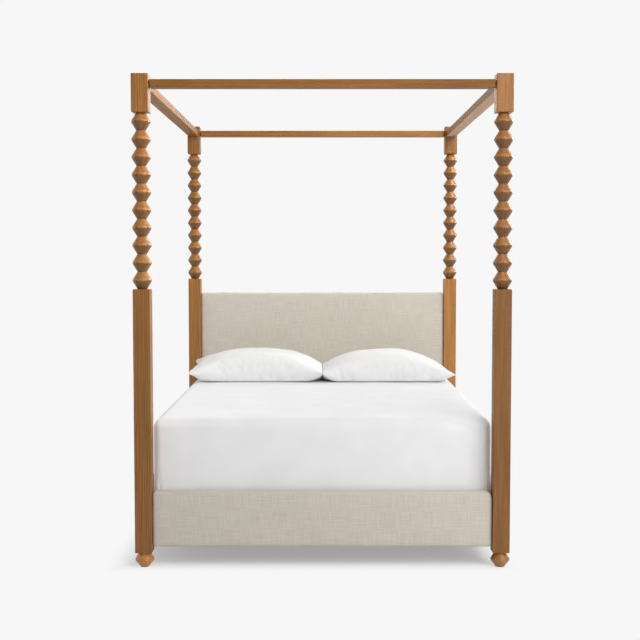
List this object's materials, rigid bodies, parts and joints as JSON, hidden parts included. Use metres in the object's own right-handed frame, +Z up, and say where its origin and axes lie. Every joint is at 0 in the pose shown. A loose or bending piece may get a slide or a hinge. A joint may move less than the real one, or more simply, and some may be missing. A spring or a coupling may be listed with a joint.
{
  "type": "canopy bed",
  "caption": "Queen canopy bed: square posts with spool-turned tops joined by a ring of rails, linen headboard, footboard and side rails, slatted base, mattress and pillows.",
  "frame": {"origin": "on the floor at the middle of the bed", "axes": "+X across the bed to the right seen from the foot end, +Y towards the headboard, +Z up"},
  "size_m": [1.6849, 2.195, 2.1935],
  "materials": {
    "oak": "satin",
    "base_wood": "matte",
    "panel_board": "matte",
    "linen": "matte",
    "foam": "matte",
    "ticking": "matte",
    "sheet_cotton": "matte",
    "pillow_cotton": "matte",
    "steel": "satin",
    "brass": "satin",
    "glide": "matte",
    "leveller": "matte"
  },
  "bodies": {
    "frame": {"bolt_plugs": "oak", "canopy_hook_plates": "steel", "canopy_rail_front": "oak", "canopy_rail_left": "oak", "canopy_rail_rear": "oak", "canopy_rail_right": "oak", "canopy_receiver_plates": "steel", "centre_beam": "base_wood", "centre_leg_front": "base_wood", "centre_leg_rear": "base_wood", "foot_front_left": "oak", "foot_front_right": "oak", "foot_glides": "glide", "foot_rear_left": "oak", "foot_rear_right": "oak", "foot_studs": "steel", "footboard_core": "panel_board", "footboard_cover": "linen", "footboard_foam": "foam", "headboard_back_cloth": "linen", "headboard_core": "panel_board", "headboard_cover": "linen", "headboard_foam": "foam", "ledge_screws": "steel", "leg_inserts": "brass", "leg_studs": "steel", "lower_post_front_left": "oak", "lower_post_front_right": "oak", "lower_post_rear_left": "oak", "lower_post_rear_right": "oak", "panel_barrel_nuts": "steel", "panel_bolts": "steel", "plate_screws": "steel", "post_studs": "steel", "rail_hook_plates": "steel", "rail_receiver_plates": "steel", "side_rail_left_core": "panel_board", "side_rail_left_cover": "linen", "side_rail_left_foam": "foam", "side_rail_right_core": "panel_board", "side_rail_right_cover": "linen", "side_rail_right_foam": "foam", "slat_ledge_left": "base_wood", "slat_ledge_right": "base_wood", "slat_screws": "steel", "slats": "base_wood", "spool_front_left": "oak", "spool_front_right": "oak", "spool_rear_left": "oak", "spool_rear_right": "oak", "top_block_front_left": "oak", "top_block_front_right": "oak", "top_block_rear_left": "oak", "top_block_rear_right": "oak"},
    "mattress": {"mattress": "ticking", "fitted_sheet": "sheet_cotton"},
    "pillow_left": {"pillow_left": "pillow_cotton"},
    "pillow_right": {"pillow_right": "pillow_cotton"},
    "leveller_front": {"leveller_front": "leveller"},
    "leveller_rear": {"leveller_rear": "leveller"}
  },
  "joints": [
    {"name": "mattress_lift", "type": "slide", "parent": "frame", "child": "mattress", "axis": [0, 0, 1], "range_m": [0, 0.35]},
    {"name": "pillow_left_lift", "type": "slide", "parent": "mattress", "child": "pillow_left", "axis": [0, 0, 1], "range_m": [0, 0.3]},
    {"name": "pillow_right_lift", "type": "slide", "parent": "mattress", "child": "pillow_right", "axis": [0, 0, 1], "range_m": [0, 0.3]},
    {"name": "leveller_front_screw", "type": "slide", "parent": "frame", "child": "leveller_front", "axis": [0, 0, 1], "range_m": [-0.012, 0]},
    {"name": "leveller_rear_screw", "type": "slide", "parent": "frame", "child": "leveller_rear", "axis": [0, 0, 1], "range_m": [-0.012, 0]}
  ]
}
